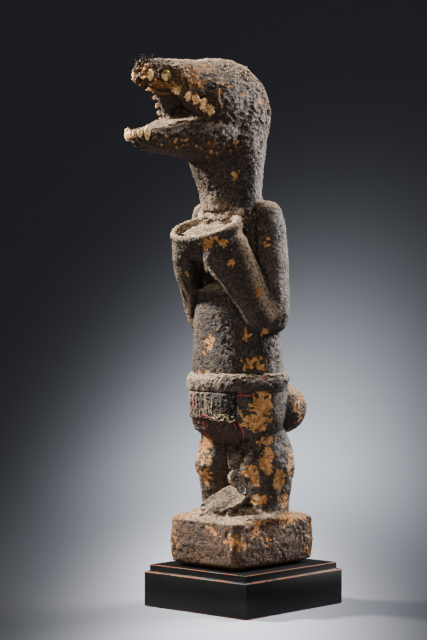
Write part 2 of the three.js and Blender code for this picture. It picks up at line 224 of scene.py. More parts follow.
# %% [markdown]
# ## Relief
# A carved and crusted surface has relief at several sizes: knife facets, lumps of crust, cracks and
# grit. Each is a weight from 0 to 1 for every point, held in a vertex group, and a Displace modifier
# moves the points by that weight along their normals. Doing it by weights lets one relief lie on the
# belly and another on the hair.


# %% Weights and relief
def weigh(piece, weights, group="relief"):
    """Writes one weight for each point into a vertex group."""
    if group in piece.vertex_groups:
        piece.vertex_groups.remove(piece.vertex_groups[group])
    made = piece.vertex_groups.new(name=group)
    levels = np.clip(np.round(np.asarray(weights) * 250), 0, 250).astype(int)
    for level in np.unique(levels):
        made.add(np.flatnonzero(levels == level).tolist(), level / 250, "REPLACE")
    return made.name


def push(piece, weights, height):
    """Moves each point out by its weight times a height, or in where the height is negative."""
    group = weigh(piece, np.clip(weights, 0, 1))
    finish_with(piece, "DISPLACE", strength=height, mid_level=0, vertex_group=group)
    piece.vertex_groups.remove(piece.vertex_groups[group])


def relief(piece, share, pattern, height):
    """Adds this share of a pattern from 0 to 1, half of it outwards and half inwards."""
    push(piece, 0.5 + share * (pattern - 0.5), height)
    finish_with(piece, "DISPLACE", strength=-0.5 * height, mid_level=0)


def ramp(values, low, high):
    """0 below low, 1 above high, and a smooth rise between them."""
    share = np.clip((np.asarray(values) - low) / (high - low), 0, 1)
    return share * share * (3 - 2 * share)


def clouds(places, size, octaves=3, offset=0.0):
    """Soft noise from 0 to 1 with features of about this size."""
    shift = Vector((offset, offset * 0.7, -offset))
    values = [noise.fractal(Vector(p) / size + shift, 1.0, 2.0, octaves) for p in places]
    return np.clip(0.5 + 0.5 * np.array(values), 0, 1)


def drift(places, size, offset=0.0):
    """A soft random direction at every place, from -1 to 1 each way."""
    shift = Vector((offset, offset * 0.7, -offset))
    return np.array([noise.noise_vector(Vector(p) / size + shift) for p in places])


def cobbles(places, size, warp=0.35, offset=0.0):
    """Distances to the two nearest of many scattered lumps, in shares of their size."""
    shift = Vector((offset, -offset, offset))
    near, second = [], []
    for place in places:
        point = Vector(place) / size + shift
        point += noise.noise_vector(point * 0.9) * warp
        distances = noise.voronoi(point)[0]
        near.append(distances[0])
        second.append(distances[1])
    return np.array(near), np.array(second)


def within(places, centre, radii):
    """1 at a centre, falling to 0 at these radii round it."""
    offset = (places - np.array(centre)) / np.array(radii)
    return np.clip(1 - np.linalg.norm(offset, axis=1), 0, 1)


def well_within(places, centre, radii, gain=3):
    """1 all over the inner part of such an oval, falling to 0 at its edge."""
    return np.clip(gain * within(places, centre, radii), 0, 1)


# %% [markdown]
# ## Small solid forms
# Lumps, rings and ropes are the forms that a carver or the crust adds on top. A lump is a squashed
# ball, a ring a turned torus, and a rope a curve with thickness that is then made a mesh.


# %% Lump, ring and rope
def lump(name, centre, radii, turn=(0, 0, 0)):
    """A rounded lump: a ball, squashed, turned and settled in its place."""
    bpy.ops.object.select_all(action="DESELECT")
    bpy.ops.mesh.primitive_uv_sphere_add(segments=24, ring_count=16, radius=1, location=centre)
    piece = named_active(name)
    piece.scale = radii
    piece.rotation_euler = turn
    settle(piece)
    return piece


def ring(name, centre, radii, thick, turn=(0, 0, 0)):
    """An oval ring, turned and settled in its place."""
    bpy.ops.object.select_all(action="DESELECT")
    bpy.ops.mesh.primitive_torus_add(location=centre, rotation=turn, major_radius=1,
                                     minor_radius=thick / radii[0], major_segments=40,
                                     minor_segments=12)
    piece = named_active(name)
    piece.scale = (radii[0], radii[1], radii[0])
    settle(piece)
    return piece


def rope(name, route, radius, sides=8):
    """A tube along points, thin at both ends."""
    curve = bpy.data.curves.new(name, "CURVE")
    curve.dimensions = "3D"
    curve.bevel_depth = radius
    curve.bevel_resolution = max(0, sides // 4 - 1)
    curve.use_fill_caps = True
    line = curve.splines.new("POLY")
    line.points.add(len(route) - 1)
    for i, place in enumerate(route):
        line.points[i].co = (*place, 1)
        line.points[i].radius = max(0.3, math.sin(math.pi * i / (len(route) - 1)) ** 0.4)
    piece = bpy.data.objects.new(name, curve)
    bpy.context.scene.collection.objects.link(piece)
    only(piece)
    bpy.ops.object.convert(target="MESH")
    return bpy.context.view_layer.objects.active


# %% [markdown]
# ## The rough carving
# The solid gives the pose and the proportions, but its faces are flat and wide. A voxel remesh turns
# it into an even skin, and smoothing rounds off the facets, but less at the forearms, the block and
# the lips of the bowl and the jaw, which stay crisp.

# %% First skin
ROUGH_VOXEL = 1.6 * MM
figure = copy_of_solid("monkey_figure", "carved_monkey")
finish_with(figure, "REMESH", mode="VOXEL", voxel_size=ROUGH_VOXEL)
places, _ = points_of(figure)
jaw = within(places, (0, -0.15, 0.515), (0.05, 0.07, 0.03))
bowl_lip = within(places, (0, -0.063, 0.418), (0.06, 0.05, 0.028))
block = ramp(-places[:, 2], -0.104, -0.1)
arms = 2.5 * within(places, (0, -0.045, 0.365), (0.1, 0.07, 0.09)) * (np.abs(places[:, 0]) > 0.012)
kept_sharp = np.clip(np.max([2.4 * jaw, 1.6 * bowl_lip, 1.15 * block, 0.9 * arms], axis=0), 0, 1)
weigh(figure, 1 - 0.95 * kept_sharp, "smooth")
FACET_ROUNDS = 14
finish_with(figure, "SMOOTH", factor=0.5, iterations=FACET_ROUNDS, vertex_group="smooth")
skin = skin_of(figure)
print("first skin:", len(figure.data.vertices), "points")

# %% [markdown]
# ## Forms that the solid leaves out
# The knob on the near knee, the sharp edges of the forearms, the swollen brow, the cords along the
# lip, and the lip and the fill of the bowl are joined to the skin. What lies on the near side is
# found by looking from the camera, and what is paired is mirrored.

# %% Knee, brow and snout
near_knee, out_of_knee = seen_on([skin], 249, 460)
extras = [
    lump("knee_knob", near_knee - out_of_knee * 2.0 * MM, (0.0070, 0.0062, 0.0095)),
    lump("far_nostril", (-0.0075, -0.1580, 0.5800), (0.0034, 0.0040, 0.0032)),
]
for sign in (-1, 1):
    extras.append(lump("brow", (sign * 0.0165, -0.1265, 0.5705), (0.0108, 0.0115, 0.0140), (0.2, 0, 0)))

# %% Ridges that follow lines of the picture
ARM_SIDE = 0.018
NEAR_SIDE = 0.004
LOWER_EDGE = [(200, 262), (208, 268), (215, 276), (223, 287), (232, 298), (240, 310), (246, 321)]
UPPER_EDGE = [(235, 214), (240, 230), (246, 247), (252, 264), (258, 280), (265, 298), (273, 314)]
LIP_CORDS = [
    [(152, 79), (157, 80), (163, 82), (169, 85), (175, 88)],
    [(154, 77), (160, 78), (167, 81), (173, 85)],
    [(153, 81), (158, 83), (164, 85), (170, 88)],
]


def ridge_along(name, line, radius, sunk, side):
    """A ridge under a line of the picture and its mirror image, with the route on the skin."""
    seen = [seen_on([skin], across, down) for across, down in line]
    route = [place - normal * sunk for place, normal in seen if place.x > side]
    print(name, "keeps", len(route), "of", len(line), "places")
    if len(route) < 2:
        return [], route
    edge = rope(name, route, radius)
    return [edge, mirrored(edge)], route


lower_edge, lower_route = ridge_along("lower_edge", LOWER_EDGE, 0.0017, 0.0006, ARM_SIDE)
upper_edge, upper_route = ridge_along("upper_edge", UPPER_EDGE, 0.0052, 0.0034, ARM_SIDE)
extras += lower_edge + upper_edge
for line in LIP_CORDS:
    extras += ridge_along("lip_cord", line, 0.0011, 0.0002, NEAR_SIDE)[0]
print("extra forms:", len(extras))

# %% Bowl: a thick lip, a bed of dried offerings, and the crust behind and below it
BOWL = (0, -0.063, 0.416)
BOWL_TILT = math.radians(26)
extras += [
    ring("bowl_lip", (BOWL[0], BOWL[1], BOWL[2] - 0.0030), (0.0382, 0.0302), 0.0042, (BOWL_TILT, 0, 0)),
    lump("bowl_bed", (0, -0.0600, 0.4060), (0.038, 0.0305, 0.0075), (BOWL_TILT, 0, 0)),
    lump("neck_crust", (0, -0.0290, 0.4340), (0.0310, 0.0135, 0.0200), (BOWL_TILT, 0, 0)),
    lump("rim_crust", (0, -0.0375, 0.4300), (0.0325, 0.0130, 0.0080), (math.radians(40), 0, 0)),
    lump("under_bowl", (0, -0.0650, 0.3905), (0.0300, 0.0185, 0.0140)),
]

# %% The cracked plate of offerings, cut to the outline that the picture shows
PLATE_OUTLINE = [
    (200, 508), (205, 502), (213, 496), (221, 492), (227, 488), (234, 486), (237, 489), (240, 494),
    (247, 497), (246, 501), (241, 505), (235, 508), (229, 510), (221, 513), (213, 511), (206, 510),
]
PLATE_THICK = 0.005
LEAN = 0.028
low_left, _ = seen_on([skin], 200, 509)
low_front, _ = seen_on([skin], 224, 514)
direction = sight(228, 488)
high_back = CAMERA_AT + direction * ((low_front - CAMERA_AT).dot(FORWARD) + LEAN) / direction.dot(FORWARD)
facing = (low_front - low_left).cross(high_back - low_left).normalized()
facing *= math.copysign(1, facing.z)
middle = (low_left + low_front + high_back) / 3 + facing * 0.5 * PLATE_THICK
print("the plate faces", [round(part, 2) for part in facing], "at", [round(part, 3) for part in middle])
turned = facing.to_track_quat("Z", "Y")
outline = bpy.data.curves.new("offering_plate", "CURVE")
outline.dimensions = "2D"
outline.fill_mode = "BOTH"
outline.extrude = PLATE_THICK / 2
edge = outline.splines.new("POLY")
edge.points.add(len(PLATE_OUTLINE) - 1)
edge.use_cyclic_u = True
for point, (across, down) in zip(edge.points, PLATE_OUTLINE):
    direction = sight(across, down)
    reach = (middle - CAMERA_AT).dot(facing) / direction.dot(facing)
    flat = turned.inverted() @ (CAMERA_AT + direction * reach - middle)
    point.co = (flat.x, flat.y, 0, 1)
plate = bpy.data.objects.new("offering_plate", outline)
bpy.context.scene.collection.objects.link(plate)
plate.location = middle
plate.rotation_mode = "QUATERNION"
plate.rotation_quaternion = turned
only(plate)
bpy.ops.object.convert(target="MESH")
plate = bpy.context.view_layer.objects.active
settle(plate)
edit_all(plate, (bpy.ops.mesh.remove_doubles, {"threshold": 0.01 * MM}),
         (bpy.ops.mesh.normals_make_consistent, {"inside": False}))
extras.append(plate)
CRUMBS = [(202, 514), (213, 517), (229, 516), (239, 512), (245, 508), (249, 503), (194, 511)]
EARTH_HEAPS = [(241, 511), (246, 510), (251, 511)]
for name, spots, radii in (("crumb", CRUMBS, (0.0030, 0.0034, 0.0020)),
                           ("earth_heap", EARTH_HEAPS, (0.0065, 0.0065, 0.0036))):
    extras += [lump(name, seen_on([skin], across, down)[0], radii) for across, down in spots]

# %% Second, finer skin
VOXEL = 1.12 * MM
add_to(figure, *extras)
reskin(figure, VOXEL, 2)
places, _ = points_of(figure)
# The crust behind and below the bowl is smoothed further, so that its lumps run into one another.
joints = within(places, (0, -0.034, 0.441), (0.050, 0.020, 0.021))
joints = joints + within(places, (0, -0.078, 0.388), (0.034, 0.022, 0.014))
weigh(figure, np.clip(3 * joints, 0, 1), "joints")
JOINT_ROUNDS = 12
finish_with(figure, "SMOOTH", factor=0.5, iterations=JOINT_ROUNDS, vertex_group="joints")
print("second skin:", len(figure.data.vertices), "points")

# %% [markdown]
# ## Crust, hair and tool marks
# Knife and adze leave broad uneven facets. Over them lies the crust: granular on the belly, hips and
# block, thin and smoother on the arms. On the skull the carver combed the hair backwards in short
# strokes, from the brow over the crown and down the nape. Round every tooth the gum steps back.

# %% Regions of the figure
SKULL = (0, -0.04, 0.545)
BROW_Y = -0.112
EYE = (0.0145, -0.139, 0.570)


def both_sides(places):
    """The places with the monkey's right side laid over its left."""
    return places * [0, 1, 1] + np.abs(places * [1, 0, 0])


def hair_on(places, normals):
    """Where the hair grows: the crown, the nape and the upper sides of the skull."""
    back = ramp(places[:, 1], BROW_Y, BROW_Y + 0.04) * ramp(places[:, 2], 0.478, 0.5)
    return back * ramp(normals[:, 2] + 1.4 * normals[:, 1], -0.1, 0.6)


def hair_strokes(places):
    """Short strokes from 0 to 1 that run back over the skull from the brow."""
    x, y, height = places.T
    back = np.arctan2(height - SKULL[2], y - SKULL[1])
    side = np.arctan2(x, np.hypot(height - SKULL[2], y - SKULL[1]) + 0.01)
    combed = np.stack([side * 38, back * 4.2 + side * 2, 0 * side], axis=1) + 0.6 * drift(places, 0.014, 2.0)
    return ramp(clouds(combed, 1.0, 4, 5.0), 0.36, 0.64)


def beside(places, route, reach):
    """1 on a route and its mirror image, falling to 0 at this distance from it."""
    nearest = np.full(len(places), np.inf)
    folded = both_sides(places)
    for a, b in zip(route, route[1:]):
        start, along = np.array(a), np.array(b) - np.array(a)
        share = np.clip((folded - start) @ along / (along @ along), 0, 1)
        nearest = np.minimum(nearest, np.linalg.norm(folded - start - share[:, None] * along, axis=1))
    return np.clip(1 - nearest / reach, 0, 1)


places, normals = points_of(figure)
_, y, height = places.T
on_block = ramp(-height, -0.101, -0.097)
on_head = ramp(height, 0.478, 0.5)
folded = both_sides(places)
on_arms = well_within(folded, (0.05, -0.03, 0.37), (0.04, 0.06, 0.09))
hair = hair_on(places, normals)
muzzle = ramp(-y, 0.1, 0.125) * ramp(height, 0.548, 0.556)
in_bowl = well_within(places, BOWL, (0.045, 0.038, 0.02)) * ramp(normals[:, 2], 0.3, 0.7)
grit = np.clip(1 - 0.6 * on_arms - 0.5 * on_head - 0.75 * on_block, 0, 1)

# %% Gums that step back round the teeth
GUM_DEPTH = 3.4 * MM
gum = np.zeros(len(places))
for name in sorted(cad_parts):
    if "canine" in name or "incisor" in name or "side_tooth" in name or "eye" in name:
        low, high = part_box(name)
        beyond = np.linalg.norm((places - np.array(low + high) / 2) / np.array(high - low) * 2, axis=1)
        depth = 1.0 if "canine" in name or "incisor" in name else 0.5
        gum = np.maximum(gum, depth * ramp(-beyond, -2.3, -1.3))
push(figure, gum, -GUM_DEPTH)

# %% Broad facets and lumps of crust
relief(figure, 1 - 0.8 * on_block, clouds(places, 0.024, 2), 1.8 * MM)
relief(figure, grit + 0.5 * on_block, clouds(places, 0.0085, 3, 3.1), 0.8 * MM)
near, _ = cobbles(places, 0.0024, 0.5)
relief(figure, grit, 1 - near, 0.6 * MM)
relief(figure, in_bowl, clouds(places, 0.0034, 3, 14.0), 2.2 * MM)

# %% Combed hair
relief(figure, hair, hair_strokes(places), 1.3 * MM)
tangle = ramp(clouds(places * [1, 0.45, 0.8], 0.0030, 4, 15.0), 0.25, 0.7)
relief(figure, on_head * (1 - hair) * (1 - muzzle), tangle, 1.2 * MM)

# %% Wrinkled brow, fibrous muzzle and a few cracks
from_eye = np.linalg.norm(folded - np.array(EYE), axis=1)
wrinkles = 0.5 + 0.5 * np.sin(from_eye * 2300 + 6 * clouds(places, 0.007, 2, 4.0))
brow = ramp(y, EYE[1] + 0.002, EYE[1] + 0.006) * ramp(-from_eye, -0.027, -0.02) * (height > 0.556)
relief(figure, brow, wrinkles, 1.3 * MM)
relief(figure, muzzle, clouds(places * [1, 0.45, 1.4], 0.0034, 3, 8.8), 3.0 * MM)
tip = ramp(-y, 0.146, 0.156) * ramp(height, 0.548, 0.556)
relief(figure, tip, ramp(clouds(places, 0.0065, 3, 17.0), 0.3, 0.62), 3.6 * MM)
push(figure, tip, -1.6 * MM)
near, second = cobbles(places, 0.019, 0.9, 9.0)
crack = (1 - ramp(second - near, 0.015, 0.06)) * ramp(clouds(places, 0.035, 2, 7.7), 0.5, 0.62)
push(figure, crack * (1 - on_head) * (0.35 + 0.65 * on_block), -1.0 * MM)

# %% Tool marks on the block and grit everywhere
upright = ramp(-np.abs(normals[:, 2]), -0.7, -0.4)
pitted = ramp(clouds(places * [1, 1, 0.8], 0.0042, 3, 1.3), 0.2, 0.55)
relief(figure, on_block * upright, pitted, 0.8 * MM)
relief(figure, np.clip(grit + 0.3, 0, 1), clouds(places, 0.0021, 2, 2.2), 1.5 * MM)

# %% Lighter mesh
MOST_TRIANGLES = 196000
triangles = sum(len(p.vertices) - 2 for p in figure.data.polygons)
finish_with(figure, "DECIMATE", ratio=min(1, MOST_TRIANGLES / triangles))
print("carved figure:", len(figure.data.polygons), "faces of", triangles, "triangles")

# %% [markdown]
# ## Where the wood shows
# Chips go through the crust to bare ochre wood. Each is a place in the picture with a half width, a
# half height and a share from 0 to 1 of how bare it is. Noise moves its edge about and breaks it into
# islands, and the mesh stores how bare each point is. The sides that the picture doesn't show get the
# same kind of wear from noise alone.

# %% Chips in the crust
CHIPS = {
    "belly": [(208, 341, 6, 7, 1.0), (203, 352, 4, 4, 0.9), (256, 365, 15, 9, 0.8),
              (247, 337, 5, 8, 0.75), (264, 334, 5, 5, 0.9), (203, 375, 10, 5, 1.0)],
    "bowl": [(207, 243, 9, 7, 0.9), (224, 243, 7, 6, 0.75), (214, 237, 6, 4, 0.8)],
    "arms": [(233, 263, 6, 4, 0.9), (260, 291, 4, 7, 1.0), (187, 274, 4, 4, 0.7),
             (267, 242, 4, 8, 0.7), (243, 222, 4, 8, 0.6), (252, 335, 4, 3, 0.6)],
    "hips": [(262, 405, 13, 18, 1.0), (266, 393, 6, 7, 0.8), (256, 422, 17, 10, 0.9),
             (243, 419, 5, 12, 0.75), (266, 441, 12, 7, 0.75), (299, 408, 5, 20, 0.75),
             (191, 410, 4, 20, 0.9)],
    "near leg": [(267, 462, 9, 17, 0.9), (250, 474, 10, 9, 0.85), (254, 484, 9, 5, 0.7),
                 (280, 480, 7, 14, 0.85), (284, 500, 8, 9, 0.8), (260, 500, 13, 7, 0.75),
                 (292, 462, 4, 20, 0.8)],
    "far leg": [(206, 443, 8, 10, 0.95), (196, 452, 4, 12, 0.9), (206, 461, 7, 7, 0.85),
                (206, 477, 10, 8, 0.8), (194, 472, 4, 9, 0.8)],
    "ear": [(220, 94, 3, 13, 0.75), (229, 85, 12, 3, 0.6), (243, 93, 4, 4, 0.95)],
    "jaw and neck": [(180, 140, 28, 12, 0.32), (212, 148, 22, 9, 0.36), (236, 144, 3, 4, 0.7),
                     (235, 175, 4, 5, 0.85), (261, 102, 4, 6, 0.8)],
    "face": [(196, 77, 15, 19, 0.55), (205, 66, 8, 7, 0.7), (162, 84, 15, 5, 0.75),
             (145, 73, 9, 14, 0.7)],
    "block": [(232, 541, 14, 8, 0.75), (243, 545, 9, 6, 0.8), (290, 519, 26, 9, 0.75),
              (258, 524, 18, 6, 0.6), (255, 533, 9, 8, 0.75), (268, 540, 6, 8, 0.6),
              (309, 545, 4, 30, 0.6), (211, 531, 8, 5, 0.75), (184, 516, 14, 5, 0.6),
              (174, 545, 4, 22, 0.5)],
}
places, normals = points_of(figure)
skin = skin_of(figure)
wander = drift(places, 0.008) * 0.004 + drift(places, 0.003, 3.0) * 0.0015
chipped = np.zeros(len(places))
for across, down, half_wide, half_high, depth in sum(CHIPS.values(), []):
    centre, _ = seen_on([skin], across, down)
    offset = places + wander - np.array(centre)
    wide = offset @ np.array(RIGHT) / (half_wide * POINT)
    high = offset @ np.array(UP) / (half_high * POINT)
    deep = offset @ np.array(FORWARD) / ((half_wide + half_high) * POINT)
    reach = 1.3 - np.sqrt(wide**2 + high**2 + deep**2)
    chipped = np.maximum(chipped, depth * np.clip(1.15 * reach, 0, 1))

# %% Wear on the sides that the picture doesn't show
hidden = ramp(normals @ np.array(FORWARD), 0.0, 0.3)
legs_and_hips = ramp(places[:, 2], 0.1, 0.12) * ramp(-places[:, 2], -0.24, -0.225)
worn = ramp(clouds(places, 0.032, 3, 12.0), 0.5, 0.68) * (0.5 + 0.45 * legs_and_hips)
chipped = np.maximum(chipped, worn * hidden)
islands = clouds(places, 0.0036, 4, 21.0) - 0.5
bare = np.clip(0.5 + 2.4 * (chipped + 1.6 * islands - 0.56), 0, 1) * ramp(chipped, 0.02, 0.15)
push(figure, bare, -0.7 * MM)
print("chipped share:", round(float((bare > 0.5).mean()), 3))


# %% Attributes that the finish reads
def store(piece, **layers):
    """Layers of one value for each point, which a material reads by their names."""
    for name, values in layers.items():
        attribute = piece.data.attributes.new(name, "FLOAT", "POINT")
        attribute.data.foreach_set("value", np.asarray(values, np.float32))


def ridges(piece, rounds=5, size=1.0 * MM):
    """How far each point stands out of its surroundings, from 0 in a pit to 1 on a ridge."""
    mesh = piece.data
    places, normals = points_of(piece)
    edges = np.empty(len(mesh.edges) * 2, np.int32)
    mesh.edges.foreach_get("vertices", edges)
    a, b = edges.reshape(-1, 2).T
    count = np.maximum(np.bincount(a, minlength=len(places)) + np.bincount(b, minlength=len(places)), 1)
    calm = places.astype(float)
    for _ in range(rounds):
        for axis in range(3):
            total = np.bincount(a, calm[b, axis], len(places)) + np.bincount(b, calm[a, axis], len(places))
            calm[:, axis] = 0.5 * calm[:, axis] + 0.5 * total / count
    out = ((places - calm) * normals).sum(axis=1)
    return np.clip(0.5 + 0.5 * out / size, 0, 1)


def dust_and_lit_side(normals, up=0.75, left=0.25):
    """Dust lies on what faces up, and the side towards the monkey's right, which faces the key light, is
    painted paler as light.
    """
    # How far each point faces the key light, for the paleness that is painted light.
    rubbed = -normals @ np.array(RIGHT)
    return up * ramp(normals[:, 2], 0.1, 0.9) + left * ramp(rubbed, 0.3, 0.9)


# %% Attributes of the figure
height = places[:, 2]
bowl_rim = well_within(places, BOWL, (0.055, 0.046, 0.022)) * ramp(normals[:, 2], -0.2, 0.5)
# The bed of the bowl is made darker as painted shade in its hollow.
bowl_bed = well_within(places, (-0.008, -0.066, 0.411), (0.03, 0.024, 0.012), 2)
plate_dust = well_within(places, tuple(middle), (0.032, 0.024, 0.02))
# In the mouth, faces that look down are made darker and near black: painted shade.
mouth = well_within(places, (0, -0.122, 0.535), (0.03, 0.045, 0.034)) * ramp(-normals[:, 2], -0.4, 0.2)
neck_root = well_within(places, (0, -0.04, 0.436), (0.036, 0.03, 0.032), 2)
hair_dust = hair_on(places, normals) * (0.45 * hair_strokes(places) - 0.15)
# Pale bands along the upper and lower edges of the forearms are painted highlights.
arm_edge_highlights = 1.6 * beside(places, upper_route, 0.0115) + 1.4 * beside(places, lower_route, 0.003)
# Each share below makes its region paler where it is added and darker where it is taken away.
# What faces up gathers dust, and the side towards the key light is painted paler as light.
dust = dust_and_lit_side(normals) + 0.4 * bowl_rim - 0.22 * plate_dust + 0.35 * neck_root + hair_dust
# The buttock tops are painted paler as a highlight.
buttock_highlights = within(both_sides(places), (0.035, 0.048, 0.234), (0.034, 0.034, 0.034))
dust = dust + 0.8 * arm_edge_highlights - 0.6 * mouth - 0.45 * bowl_bed + 0.9 * buttock_highlights
block_earth = 1.3 * ramp(-height, -0.108, -0.098)
snout_earth = ramp(-places[:, 1], 0.09, 0.13) * ramp(height, 0.54, 0.56)
# The foot bases and the block top beside them are painted paler as light.
ankle_light = ramp(height, 0.094, 0.099) * ramp(-height, -0.118, -0.104)
block_sides = ramp(-height, -0.1, -0.093)
dust = dust - 0.4 * snout_earth * ramp(-places[:, 1], 0.135, 0.15) + 0.5 * ankle_light - 0.16 * block_sides
head_earth = 0.35 * ramp(height, 0.48, 0.5) * (1 - hair_on(places, normals))
store(figure, bare=bare, ridge=ridges(figure), dust=np.clip(dust, 0, 1), soot=mouth,
      earth=np.clip(block_earth + 0.8 * snout_earth + head_earth, 0, 1))

# %% [markdown]
# ## Waistband
# A strip of real cloth is rolled and tied round the waist and then set stiff by the same crust. Its
# solid holds the right place and thickness, so a copy is remeshed and twisted folds are pressed into
# it. The roll is thickest along its upper edge.

# %% Waistband
def one_side(piece):
    """The area of one side of a closed sheet."""
    return sum(face.area for face in piece.data.polygons) / 2


CLOTH_VOXEL = 0.9 * MM
band = copy_of_solid("waistband", "waist_roll")
reskin(band, CLOTH_VOXEL, 4)
places, normals = points_of(band)
around = np.arctan2(places[:, 0], -places[:, 1])
climb = places[:, 2] + 0.006 * np.sin(around * 1.5 + 0.8)
twisted = np.stack([around * 2.2, climb * 95, 0 * around], axis=1) + 0.35 * drift(places, 0.012, 1.0)
outer = ramp(np.hypot(normals[:, 0], normals[:, 1]), 0.1, 0.5)
relief(band, outer, ramp(clouds(twisted, 1.0, 2, 1.0), 0.2, 0.8), 1.8 * MM)
ROLL_HEIGHT = 0.2500
ROLL_SPREAD = 0.0060
upper_roll = np.exp(-(((climb - ROLL_HEIGHT) / ROLL_SPREAD) ** 2))
relief(band, outer, upper_roll, 1.2 * MM)
relief(band, 1, clouds(places, 0.0048, 3, 7.0), 1.3 * MM)
relief(band, 1, clouds(places, 0.0018, 2, 2.0), 1.2 * MM)
nowhere = np.zeros(len(places))
# The roll's side towards the key light is painted paler as light.
store(band, ridge=ridges(band), bare=nowhere,
      dust=np.clip(0.18 + dust_and_lit_side(points_of(band)[1], 0.9, 0.6), 0, 1), soot=nowhere, earth=nowhere)
print("waist roll:", len(band.data.polygons), "faces,", round(one_side(band), 5), "square metres a side")

# %% [markdown]
# ## Loincloth
# The flap hangs from the band over a darker cloth that is drawn together between the thighs. Its left
# half is pleated and its right half is a knotted panel. The end of the cloth hangs between the legs
# in strands with a crusted loop. The solid's own end is cut off, and strands and a loop take its
# place.

# %% Cut, strands and loop
CUT = 0.168
cloth = copy_of_solid("loincloth", "knotted_loincloth")
edit_all(cloth, (bpy.ops.mesh.bisect, {"plane_co": (0, 0, CUT), "plane_no": (0, 0, 1), "use_fill": True,
                                       "clear_inner": True}))
loop = ring("loop", (0.0118, -0.0262, 0.1422), (0.0060, 0.0066), 0.0024,
            (math.radians(90), 0, math.radians(42)))
knot = lump("knot", (0.0065, -0.0285, 0.1440), (0.0035, 0.003, 0.0036))
strands = []
for i in range(5):
    out = i / 4 - 0.5
    route = [(0.007 + 0.0006 * j + out * (0.018 - 0.0014 * j), -0.021 - 0.0008 * j + 0.008 * out,
              0.184 - 0.0058 * j) for j in range(7)]
    strands.append(rope("strand", route, 0.0017))
add_to(cloth, loop, knot, *strands)
reskin(cloth, CLOTH_VOXEL, 2)

# %% Pleats, knots and drawn folds
places, normals = points_of(cloth)
x, y, height = places.T
flap = ramp(height, 0.206, 0.2085) * ramp(-y, 0.0, 0.01)
PANEL = (0.001, 0.036)
panel = flap * ramp(x, PANEL[0] - 0.002, PANEL[0] + 0.002)
pleats = 0.5 + 0.5 * np.sin(x * 1150 + 9 * clouds(places * [1, 1, 0.35], 0.011, 3, 1.0))
push(cloth, flap * ramp(x, 0.020, 0.034), -1.8 * MM)
relief(cloth, flap * (1 - panel), pleats, 0.8 * MM)
near, _ = cobbles(places, 0.0030, 0.9, 4.0)
relief(cloth, panel, 1 - near, 1.2 * MM)
fan = np.arctan2(x - 0.004, height - 0.165)
drawn = 0.5 + 0.5 * np.sin(fan * 24 + 6 * clouds(places, 0.014, 2, 3.0))
relief(cloth, (1 - flap) * ramp(height, 0.172, 0.18) * ramp(-y, 0.01, 0.02), drawn, 1.8 * MM)
hanging = ramp(-height, -0.172, -0.166)
low_end = ramp(-height, -0.152, -0.148)
relief(cloth, 0.35 + 0.65 * low_end, clouds(places, 0.0038, 3, 7.0), 3.2 * MM)
relief(cloth, 1, clouds(places, 0.0018, 2, 2.0), 1.2 * MM)
# The side towards the key light is painted paler as light, mostly on the flap.
dust = dust_and_lit_side(points_of(cloth)[1], 0.4, 0.5) * (0.2 + 0.8 * flap) * (1 - 0.8 * panel)
store(cloth, ridge=ridges(cloth), bare=np.zeros(len(places)),
      dust=np.clip(dust + 0.3 * hanging + 0.4 * low_end, 0, 1),
      # Under the flap and on the knotted panel the near-black layer is the darker cloth.
      soot=0.45 * (1 - flap) * (1 - hanging) + 0.5 * panel,
      earth=0.7 * (1 - flap) * (1 - low_end))
print("loincloth:", len(cloth.data.polygons), "faces,", round(one_side(cloth), 5), "square metres a side")

# %% Threads along the edges of the cloth
RED_THREADS = [
    ([(193, 392), (194, 398), (194, 405), (194, 412)], 1.0),
    ([(200, 418), (203, 414), (207, 416), (210, 418)], 0.8),
    ([(202, 419), (203, 423), (205, 427), (207, 430)], 1.1),
    ([(204, 431), (206, 434), (210, 437), (215, 440)], 0.7),
    ([(237, 420), (240, 426), (243, 431), (244, 436), (243, 441)], 0.8),
    ([(234, 423), (236, 428), (235, 433)], 0.5),
    ([(237, 396), (241, 395), (246, 396), (252, 395)], 0.8),
    ([(213, 421), (217, 427), (220, 433)], 0.45),
    ([(261, 378), (264, 377), (269, 378)], 0.6),
    ([(238, 393), (241, 392), (243, 394)], 0.4),
]
CREAM_THREADS = [
    ([(212, 417), (215, 419), (219, 421), (222, 419)], 1.0),
    ([(226, 417), (228, 420), (230, 422), (234, 420), (238, 416)], 1.1),
    ([(212, 398), (212, 404), (211, 411), (213, 417)], 0.7),
    ([(238, 406), (238, 412), (237, 417)], 0.5),
    ([(208, 404), (209, 410), (210, 415)], 0.6),
]
skins = [skin, skin_of(band), skin_of(cloth)]


def threads_on(name, lines):
    """Rough threads that lie on the cloth under lines of the picture, as one piece."""
    threads = []
    for line, thick in lines:
        seen = [seen_on(skins, across, down) for across, down in line]
        route = [place + normal * 0.25 * MM for place, normal in seen]
        threads.append(rope("thread", route, thick * MM, 8))
    add_to(*threads)
    made = named_active(name)
    edit_all(made, (bpy.ops.mesh.subdivide, {"number_cuts": 3}))
    roughen(made, fibre_grain, 0.9 * MM)
    return made


fibre_grain = bpy.data.textures.new("fibre grain", "CLOUDS")
fibre_grain.noise_scale = 1.6 * MM
fibre_grain.noise_depth = 2
red_threads = threads_on("red_threads", RED_THREADS)
cream_threads = threads_on("cream_threads", CREAM_THREADS)

